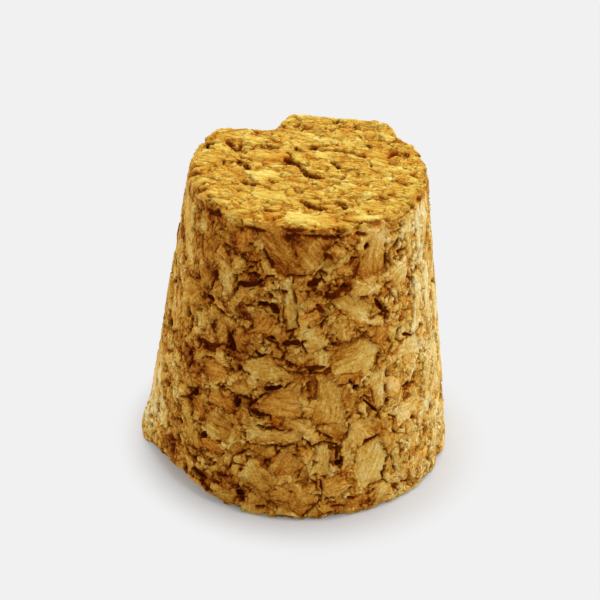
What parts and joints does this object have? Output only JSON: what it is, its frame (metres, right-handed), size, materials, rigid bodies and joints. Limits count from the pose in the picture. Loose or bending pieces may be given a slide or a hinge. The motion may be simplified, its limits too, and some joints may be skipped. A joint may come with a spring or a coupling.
{
  "type": "cork stopper",
  "caption": "Tapered stopper of pressed cork granules: round narrow end up, wide end down, with worn and chipped rims and open gaps between the granules.",
  "frame": {"origin": "centre of the wide end's face, on which the stopper stands", "axes": "+Z along the stopper's axis, from the wide end to the narrow end; -Y is the front, which carries the chipped part of the wide rim on its -X side"},
  "size_m": [0.0294, 0.0294, 0.03],
  "materials": {
    "cork": "matt, raw pressed cork, granules from straw to dark brown"
  },
  "bodies": {
    "root": {"stopper": "cork"}
  },
  "joints": []
}
